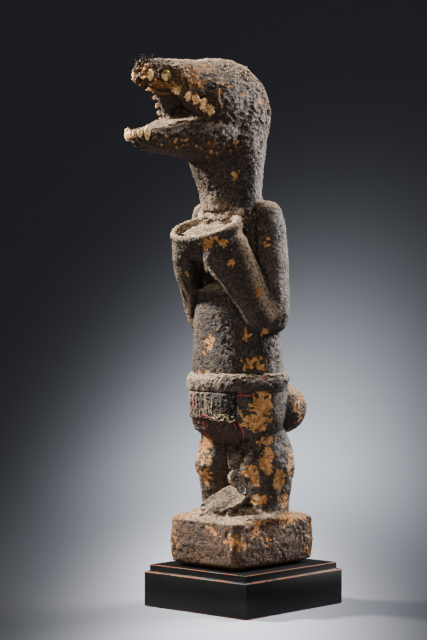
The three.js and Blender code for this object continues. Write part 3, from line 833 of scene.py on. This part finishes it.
# %% Ragged fringe under the knotted panel
FRINGES = 40
fringe_parts = []
cloth_skin = skins[2]
for _ in range(FRINGES):
    across = random.uniform(212, 239)
    place, normal = seen_on([cloth_skin], across, random.uniform(414, 420))
    fall = Vector((random.uniform(-1, 1), random.uniform(-0.5, 0), random.uniform(-1.2, 0.4))).normalized()
    long = random.uniform(0.0015, 0.0045)
    sway = Vector((random.uniform(-1, 1), 0, 0)) * 0.0012
    route = [place + fall * long * s + sway * s * s + normal * 0.0004 for s in (0, 0.5, 1)]
    fringe_parts.append(rope("fringe", route, random.uniform(0.0003, 0.0006), 4))
add_to(cream_threads, *fringe_parts)

# %% [markdown]
# ## Teeth, bone and eyes
# Real teeth are set into the jaws: pointed canines, narrow front teeth and rough bone fragments along
# the gum. Each starts as a ball, whose top is drawn to a point by scaling it with proportional
# editing, and a Displace modifier roughens it. The eyes are cloudy beads.

# %% Teeth
tooth_grain = bpy.data.textures.new("tooth grain", "CLOUDS")
tooth_grain.noise_scale = 2.6 * MM
tooth_grain.noise_depth = 3
MOUTH = Vector((0, -0.145, 0.54))


def tooth_like(node, name, point, rough, wide, tall, out=0.0):
    """A tooth in the place of its solid, with one end drawn to a point and its faces roughened.

    It is this much wider and taller than the solid, and stands this far out of its socket, away from
    the middle of the mouth.
    """
    low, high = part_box(node)
    outwards = (Vector(low + high) / 2 - MOUTH) * Vector((1, 1, 0))
    bpy.ops.object.select_all(action="DESELECT")
    bpy.ops.mesh.primitive_ico_sphere_add(subdivisions=4, radius=1)
    piece = named_active(name)
    end = math.copysign(1, point)
    for vertex in piece.data.vertices:
        vertex.select = vertex.co.z * end > 0.85
    bpy.ops.object.mode_set(mode="EDIT")
    bpy.ops.mesh.select_mode(type="VERT")
    bpy.ops.transform.resize(value=(1 - abs(point), 1 - abs(point), 1), center_override=(0, 0, end),
                             use_proportional_edit=True, proportional_edit_falloff="SMOOTH",
                             proportional_size=1.5)
    bpy.ops.object.mode_set(mode="OBJECT")
    piece.scale = Vector(high - low) / 2 * Vector((wide, wide, tall))
    piece.location = Vector(low + high) / 2 + outwards.normalized() * out
    settle(piece)
    roughen(piece, tooth_grain, rough)
    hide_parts(node)
    return piece


teeth = []
for node in sorted(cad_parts):
    if "canine" in node or "incisor" in node:
        if node.startswith("upper"):
            teeth.append(tooth_like(node, "set_" + node, -0.3, 2.2 * MM, 1.25, 0.8, 3.6 * MM))
        elif "canine" in node:
            teeth.append(tooth_like(node, "set_" + node, 0.3, 2.2 * MM, 1.2, 1.0, 1.0 * MM))
        else:
            teeth.append(tooth_like(node, "set_" + node, 0.1, 2.0 * MM, 1.45, 0.85, 0.6 * MM))
    elif "side_tooth" in node:
        rough, swell = (7.0 * MM, 1.38) if node.endswith("left") else (3.6 * MM, 0.66)
        teeth.append(tooth_like(node, "bone_" + node, -0.2, rough, swell, swell))
print("teeth and bones:", len(teeth))

# %% Eyes
eyes = []
for label in ("left", "right"):
    low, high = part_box(f"eye_{label}")
    bead = lump(f"eye_bead_{label}", (low + high) / 2, (high - low) / 2 * 1.15)
    finish_with(bead, "SUBSURF", levels=1, render_levels=1)
    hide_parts(f"eye_{label}")
    eyes.append(bead)

# %% [markdown]
# ## The tuft and the fibres of the muzzle
# A few dark hairs stand on the tip of the snout, stuck in the crust, and ochre fibres lie matted
# along the lips. One hair is a thin tube with few faces, bent a little, with its own length and lean.

# %% Hair
HAIRS = 60
HAIR_RADIUS = 0.32 * MM
hairs = []
for _ in range(HAIRS):
    above = Vector((random.uniform(-0.007, 0.007), random.uniform(-0.163, -0.147), 0.65))
    place, normal = skin.ray_cast(above, Vector((0, 0, -1)))[:2]
    if place is None:
        continue
    long = random.uniform(0.003, 0.0085)
    lean = Vector((random.uniform(-0.6, 0.6), random.uniform(-0.9, 0.6), 0.8)).normalized()
    bend = Vector((random.uniform(-1, 1), random.uniform(-1, 1), 0)) * long * 0.4
    route = [place + lean * long * s + bend * s * s - normal * 0.5 * MM for s in (0, 0.35, 0.7, 1)]
    hairs.append(rope("hair", route, HAIR_RADIUS, 4))
add_to(*hairs)
tuft = named_active("snout_tuft")
print("tuft:", len(tuft.data.polygons), "faces")

# %% Fibres
FIBRE_FIELDS = [((150, 79), (176, 90), 34), ((140, 62), (152, 80), 30), ((176, 62), (206, 88), 26)]
FIBRE_PLACES = 4
FIBRE_STEP = 2.2
fibres = []
for (left, top), (right, bottom), count in FIBRE_FIELDS:
    for _ in range(count):
        share = random.random()
        across = left + (right - left) * share
        down = top + (bottom - top) * (0.5 * share + 0.5 * random.random())
        turn = random.uniform(-0.5, 1.3)
        line = []
        for _ in range(FIBRE_PLACES):
            hit = skin.ray_cast(CAMERA_AT, sight(across, down))
            if hit[0] is None or hit[0].y > -0.05:
                break
            line.append(hit[0] + hit[1] * random.uniform(0.0, 0.0007))
            turn += random.uniform(-0.5, 0.5)
            across += FIBRE_STEP * math.cos(turn)
            down += FIBRE_STEP * math.sin(turn)
        if len(line) == FIBRE_PLACES:
            fibres.append(rope("fibre", line, random.uniform(0.0003, 0.0006), 4))
add_to(*fibres)
near_fibres = named_active("muzzle_fibres")
add_to(near_fibres, mirrored(near_fibres))
print("fibres:", 2 * len(fibres))

# %% [markdown]
# ## The plinth
# The plinth is a block with a narrower step, lacquered black and rubbed through along its edges. In a
# copy of its solid the slanting faces take a second finish, and then all edges are finely rounded.

# %% Plinth
plinth = copy_of_solid("plinth", "lacquered_plinth")
plinth.data.materials.append(None)
plinth.data.materials.append(None)
for face in plinth.data.polygons:
    face.material_index = int(sorted(abs(part) for part in face.normal)[1] > 0.3)
finish_with(plinth, "BEVEL", width=0.25 * MM, segments=2, limit_method="ANGLE", angle_limit=math.radians(20))
only(plinth)
bpy.ops.object.shade_smooth_by_angle(angle=math.radians(30))

# %% [markdown]
# ## Finishes
# Effects that several finishes share are node groups: patches with a ragged edge, and the grain of
# the crust. Each material places them with its own values.


# %% Node helpers
def node(tree, kind, settings=None, **links):
    """A node with settings, whose named inputs are linked or set."""
    made = tree.nodes.new(kind)
    for key, value in (settings or {}).items():
        setattr(made, key, value)
    for key, value in links.items():
        connect(tree, value, made.inputs[key.replace("_", " ")])
    return made


def connect(tree, value, socket):
    """Links a socket to another, or sets its plain value."""
    if isinstance(value, bpy.types.NodeSocket):
        tree.links.new(value, socket)
    elif isinstance(value, tuple) and len(value) == 3 and socket.type == "RGBA":
        socket.default_value = (*value, 1)
    else:
        socket.default_value = value


def reckon(tree, operation, a, b=0.0):
    """A sum, product or other result of two values."""
    made = tree.nodes.new("ShaderNodeMath")
    made.operation = operation
    connect(tree, a, made.inputs[0])
    connect(tree, b, made.inputs[1])
    return made.outputs[0]


def blend_colours(tree, share, a, b):
    """Colour a where share is 0 and colour b where it is 1."""
    made = tree.nodes.new("ShaderNodeMix")
    made.data_type = "RGBA"
    connect(tree, share, made.inputs["Factor"])
    connect(tree, a, made.inputs[6])
    connect(tree, b, made.inputs[7])
    return made.outputs[2]


def rise(tree, value, low, high, smallest=0.0, largest=1.0):
    """A smooth rise from smallest to largest as the value goes from low to high."""
    made = node(tree, "ShaderNodeMapRange", {"interpolation_type": "SMOOTHSTEP"}, Value=value)
    for key, number in (("From Min", low), ("From Max", high), ("To Min", smallest), ("To Max", largest)):
        made.inputs[key].default_value = number
    return made.outputs["Result"]


def speckle(tree, where, scale, detail=4.0, rough=0.55):
    """Noise from 0 to 1 with this many features in a metre."""
    made = node(tree, "ShaderNodeTexNoise", Vector=where, Scale=scale, Detail=detail, Roughness=rough)
    return made.outputs["Fac"]


def places_in(tree):
    """The place on the piece, in metres."""
    return tree.nodes.new("ShaderNodeTexCoord").outputs["Object"]


def attribute(tree, name):
    """A value that the mesh stores for each point."""
    return node(tree, "ShaderNodeAttribute", {"attribute_name": name}).outputs["Fac"]


# %% Shared groups
def new_group(name, inputs, outputs):
    """An empty shader node group with number inputs and outputs."""
    group = bpy.data.node_groups.new(name, "ShaderNodeTree")
    for label, value in inputs.items():
        socket = group.interface.new_socket(label, in_out="INPUT", socket_type="NodeSocketFloat")
        socket.default_value = value
    for label in outputs:
        group.interface.new_socket(label, in_out="OUTPUT", socket_type="NodeSocketFloat")
    return group, group.nodes.new("NodeGroupInput").outputs, group.nodes.new("NodeGroupOutput").inputs


patches, given, result = new_group("ragged patches", {"Amount": 0.5, "Scale": 900.0, "Ragged": 0.6}, ["Mask"])
torn = reckon(patches, "SUBTRACT", speckle(patches, places_in(patches), given["Scale"], 4.0, 0.6), 0.5)
level = reckon(patches, "ADD", given["Amount"], reckon(patches, "MULTIPLY", torn, given["Ragged"]))
connect(patches, rise(patches, level, 0.44, 0.56), result["Mask"])

grain, given, result = new_group("crust grain", {"Scale": 450.0}, ["Tone", "Height"])
where = places_in(grain)
fine = speckle(grain, where, given["Scale"], 6.0, 0.7)
coarse = speckle(grain, where, 120.0, 4.0, 0.6)
broad = speckle(grain, where, 30.0, 3.0, 0.5)
pits = node(grain, "ShaderNodeTexVoronoi", {"feature": "F1"}, Vector=where, Scale=given["Scale"])
tone = reckon(grain, "ADD", reckon(grain, "MULTIPLY", fine, 0.45), reckon(grain, "MULTIPLY", coarse, 0.3))
connect(grain, reckon(grain, "ADD", tone, reckon(grain, "MULTIPLY", broad, 0.25)), result["Tone"])
hollowed = reckon(grain, "SUBTRACT", fine, reckon(grain, "MULTIPLY", pits.outputs["Distance"], 0.3))
connect(grain, hollowed, result["Height"])


def use_group(tree, group, **values):
    """Places a shared group with its own values."""
    made = tree.nodes.new("ShaderNodeGroup")
    made.node_tree = group
    for key, value in values.items():
        connect(tree, value, made.inputs[key])
    return made.outputs


def new_material(name, **plain):
    """A material with a Principled shader, whose plain values are set on its own sockets."""
    material = bpy.data.materials.new(name)
    material.use_nodes = True
    tree = material.node_tree
    shader = tree.nodes["Principled BSDF"]
    for key, value in plain.items():
        connect(tree, value, shader.inputs[key.replace("_", " ")])
    return material, tree, shader


def bump(tree, shader, height, distance, strength=1.0):
    """Fine relief that only bends the light."""
    made = node(tree, "ShaderNodeBump", Height=height, Distance=distance, Strength=strength)
    connect(tree, made.outputs["Normal"], shader.inputs["Normal"])


# %% [markdown]
# ### Crusted wood and cloth
# The crust is dark, paler where it stands proud and has been rubbed, and grey-brown with dust where it
# faces up. The same pale tone is painted light on the side towards the key light, along the forearm
# edges, on the buttock tops and at the foot bases. On the block and the muzzle it is earthier and
# redder, in the mouth it is near black as painted shade, and where it has chipped away the wood shows
# ochre.

# %% Crust
OCHRE = (0.40, 0.145, 0.024)
OCHRE_PALE = (0.70, 0.36, 0.13)
EARTH = (0.20, 0.092, 0.034)
# Near black, for the painted shade in the mouth, the darker cloth and the pits of the grain.
SHADE_AND_PIT_BLACK = (0.012, 0.008, 0.006)


def crusted(name, dark, mid, dust, scale):
    """Old crust in three tones, chipped to ochre wood where the mesh says so."""
    material, tree, shader = new_material(name, Specular_IOR_Level=0.35)
    grains = use_group(tree, grain, Scale=scale)
    ridge = attribute(tree, "ridge")
    lift = reckon(tree, "MULTIPLY", reckon(tree, "SUBTRACT", ridge, 0.5), 0.55)
    proud = reckon(tree, "ADD", grains["Tone"], lift)
    colour = blend_colours(tree, rise(tree, proud, 0.38, 0.68), dark, mid)
    earthy = reckon(tree, "MULTIPLY", attribute(tree, "earth"), rise(tree, grains["Tone"], 0.35, 0.62))
    colour = blend_colours(tree, reckon(tree, "MULTIPLY", earthy, 0.6), colour, EARTH)
    # The pale tone follows the dust layer, which also carries painted light and painted shade.
    dust_and_light_level = reckon(tree, "ADD", attribute(tree, "dust"), reckon(tree, "SUBTRACT", proud, 0.5))
    dust_and_light_share = rise(tree, dust_and_light_level, 0.1, 1.0)
    colour = blend_colours(tree, dust_and_light_share, colour, dust)
    # Painted shade in the mouth, and the darker cloth, go towards near black.
    colour = blend_colours(tree, reckon(tree, "MULTIPLY", attribute(tree, "soot"), 0.8), colour, SHADE_AND_PIT_BLACK)
    pit = rise(tree, grains["Height"], 0.42, 0.22)
    colour = blend_colours(tree, reckon(tree, "MULTIPLY", pit, 0.7), colour, SHADE_AND_PIT_BLACK)
    chipped = use_group(tree, patches, Amount=attribute(tree, "bare"), Scale=900.0, Ragged=0.9)["Mask"]
    left_over = rise(tree, speckle(tree, places_in(tree), 650.0, 3.0), 0.33, 0.43)
    chipped = reckon(tree, "MULTIPLY", chipped, left_over)
    wood_tone = speckle(tree, places_in(tree), 160.0, 5.0, 0.65)
    wood = blend_colours(tree, rise(tree, wood_tone, 0.40, 0.62), OCHRE, OCHRE_PALE)
    colour = blend_colours(tree, chipped, colour, wood)
    connect(tree, colour, shader.inputs["Base Color"])
    connect(tree, rise(tree, reckon(tree, "ADD", grains["Tone"], dust_and_light_share), 0.3, 0.9, 0.42, 0.9),
            shader.inputs["Roughness"])
    height = reckon(tree, "SUBTRACT", grains["Height"], reckon(tree, "MULTIPLY", chipped, 0.5))
    bump(tree, shader, height, 2.0 * MM)
    return material


crusted_wood = crusted("crusted wood", (0.010, 0.0068, 0.0047), (0.088, 0.060, 0.040),
                       (0.41, 0.295, 0.195), 420.0)
crusted_cloth = crusted("crusted cloth", (0.012, 0.0072, 0.0055), (0.10, 0.070, 0.048),
                        (0.44, 0.34, 0.24), 560.0)


# %% Lacquer
def lacquered(name, wear):
    """Black lacquer, rubbed through to red-brown by this much."""
    material, tree, shader = new_material(name, Specular_IOR_Level=0.16)
    cloudy = speckle(tree, places_in(tree), 55.0, 3.0)
    black = blend_colours(tree, cloudy, (0.003, 0.003, 0.0032), (0.007, 0.007, 0.0075))
    rubbed = use_group(tree, patches, Amount=wear, Scale=45.0, Ragged=2.2)["Mask"]
    streaky = speckle(tree, places_in(tree), 300.0)
    brown = blend_colours(tree, streaky, (0.07, 0.016, 0.004), (0.32, 0.095, 0.02))
    connect(tree, blend_colours(tree, rubbed, black, brown), shader.inputs["Base Color"])
    connect(tree, rise(tree, rubbed, 0.0, 1.0, 0.38, 0.6), shader.inputs["Roughness"])
    return material


lacquer = lacquered("black lacquer", -1.0)
rubbed_lacquer = lacquered("rubbed lacquer", 0.6)


# %% Teeth, bone, amber, hair and thread
def stained(name, pale, stain, low=0.42, high=0.68, scale=420.0, **plain):
    """A pale body with stains in its hollows."""
    material, tree, shader = new_material(name, **plain)
    tone = speckle(tree, places_in(tree), scale, 4.0)
    connect(tree, blend_colours(tree, rise(tree, tone, low, high), pale, stain), shader.inputs["Base Color"])
    bump(tree, shader, tone, 0.4 * MM, 0.6)
    return material


ivory = stained("old tooth", (0.80, 0.56, 0.28), (0.45, 0.16, 0.03), 0.48, 0.64, 220.0, Roughness=0.35)
bone = stained("bone fragment", (0.84, 0.54, 0.24), (0.32, 0.12, 0.03), 0.42, 0.64, 260.0, Roughness=0.55)
amber = stained("amber bead", (0.72, 0.56, 0.24), (0.20, 0.11, 0.02), 0.45, 0.6, 140.0, Roughness=0.15)
dark_hair = stained("dark hair", (0.012, 0.008, 0.005), (0.05, 0.026, 0.012), Roughness=0.8,
                    Specular_IOR_Level=0.2)
ochre_fibre = stained("ochre fibre", (0.42, 0.19, 0.05), (0.12, 0.05, 0.02), Roughness=0.7)
cream_thread = stained("cream thread", (0.62, 0.48, 0.28), (0.24, 0.16, 0.08), Roughness=0.8)
red_thread = stained("red thread", (0.50, 0.05, 0.045), (0.15, 0.018, 0.015), Roughness=0.7)


# %% Dressing the pieces
def dress(piece, materials, smooth=True):
    """Gives a piece its finish and its slot, and makes it ride with the figure."""
    for i, material in enumerate(materials):
        if i == len(piece.data.materials):
            piece.data.materials.append(material)
        piece.data.materials[i] = material
    only(piece)
    if smooth:
        bpy.ops.object.shade_smooth()
    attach(piece, "root")


dress(figure, [crusted_wood])
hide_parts("monkey_figure")
dress(band, [crusted_cloth])
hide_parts("waistband")
dress(cloth, [crusted_cloth])
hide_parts("loincloth")
for tooth in teeth:
    dress(tooth, [ivory if tooth.name.startswith("set_") else bone])
for bead in eyes:
    dress(bead, [amber])
for fibre_piece, material in ((tuft, dark_hair), (near_fibres, ochre_fibre), (cream_threads, cream_thread),
                              (red_threads, red_thread)):
    dress(fibre_piece, [material])
dress(plinth, [lacquer, rubbed_lacquer], smooth=False)
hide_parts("plinth")

# %% [markdown]
# ### The two cloths
# Each cloth's printed size is half the area of its closed skin, the area of one side of the strip.
# The roll is only the strip that lies outermost, because its inner turns can't be seen. The loincloth's
# strip runs from the flap down between the thighs and up behind.

# %% [markdown]
# ## Studio
# A pale floor fades into a soft dark backdrop with a glow low behind the figure; the floor's colour
# holds a painted pool of light, pale near the figure and almost black further off. A warm key
# light from the front left and above rakes over the crust, a soft one from above and behind lights
# the crown, a third from the back right draws the pale edge, and a weak low fill opens the shadows.

# %% Floor
def soft_oval(tree, where, middle, spans):
    """1 at a middle, fading softly outwards, by its own distance along each of these directions."""
    total = 0.0
    for axis, width in spans:
        along = node(tree, "ShaderNodeVectorMath", {"operation": "DOT_PRODUCT"})
        connect(tree, where, along.inputs[0])
        along.inputs[1].default_value = axis / width
        beyond = reckon(tree, "SUBTRACT", along.outputs["Value"], middle.dot(axis) / width)
        total = reckon(tree, "ADD", total, reckon(tree, "MULTIPLY", beyond, beyond))
    return reckon(tree, "POWER", math.e, reckon(tree, "MULTIPLY", total, -1.0))


bpy.ops.object.select_all(action="DESELECT")
bpy.ops.mesh.primitive_circle_add(vertices=96, radius=3.2, fill_type="NGON", location=(0, 0, 0))
floor = bpy.context.view_layer.objects.active
floor.name = "floor"
floor_paint, tree, shader = new_material("pale floor", Roughness=0.8, Specular_IOR_Level=0.0)
DEPTH = Vector((FORWARD.x, FORWARD.y, 0)).normalized()
# The floor's colour holds a painted pool of light: pale near the figure, almost black further off.
painted_light_pool = soft_oval(tree, places_in(tree), RIGHT * -0.01, ((RIGHT, 0.12), (DEPTH, 1.1)))
FLOOR_FAR = (0.012, 0.013, 0.016)
FLOOR_NEAR = (0.36, 0.39, 0.46)
connect(tree, blend_colours(tree, painted_light_pool, FLOOR_FAR, FLOOR_NEAR), shader.inputs["Base Color"])
connect(tree, soft_oval(tree, places_in(tree), RIGHT * -0.01, ((RIGHT, 0.36), (DEPTH, 1.1))),
        shader.inputs["Alpha"])
floor.data.materials.append(floor_paint)

# %% Backdrop: a glow with soft edges, low behind the figure
GLOW_AT = sight(237, 600)
GLOW_WIDE = 0.066
GLOW_HIGH = 0.1000
LEANING = RIGHT - UP * 0.24
BRIGHT = (1.62, 1.72, 1.95)
DARK = (0.0165, 0.0172, 0.0205)
world = bpy.data.worlds.new("studio")
bpy.context.scene.world = world
world.use_nodes = True
tree = world.node_tree
direction = tree.nodes.new("ShaderNodeTexCoord").outputs["Generated"]
glow = soft_oval(tree, direction, GLOW_AT, ((LEANING, GLOW_WIDE), (UP, GLOW_HIGH), (FORWARD, 1.0)))
connect(tree, blend_colours(tree, glow, DARK, BRIGHT), tree.nodes["Background"].inputs["Color"])


# %% Lights
def soft_light(name, come_from, away, size, power, colour):
    """A round soft lamp that shines on the middle of the figure."""
    data = bpy.data.lights.new(name, "AREA")
    data.shape = "DISK"
    data.size = size
    data.energy = power
    data.color = colour
    light = bpy.data.objects.new(name, data)
    bpy.context.scene.collection.objects.link(light)
    light.location = MIDDLE + come_from.normalized() * away
    light.rotation_mode = "QUATERNION"
    light.rotation_quaternion = (-come_from).to_track_quat("-Z", "Y")


MIDDLE = Vector((0, 0, 0.42))
soft_light("key", Vector((-0.71, -0.42, 0.56)), 1.25, 0.2, 98, (1.0, 0.93, 0.85))
soft_light("top", Vector((0.22, 0.48, 0.85)), 1.6, 0.4, 60, (1.0, 0.95, 0.92))
soft_light("rim", Vector((0.15, 0.95, 0.20)), 1.6, 0.5, 52, (1.0, 0.92, 0.87))
soft_light("fill", Vector((0.62, -0.78, 0.02)), 2.0, 1.0, 18, (1.0, 0.96, 0.92))
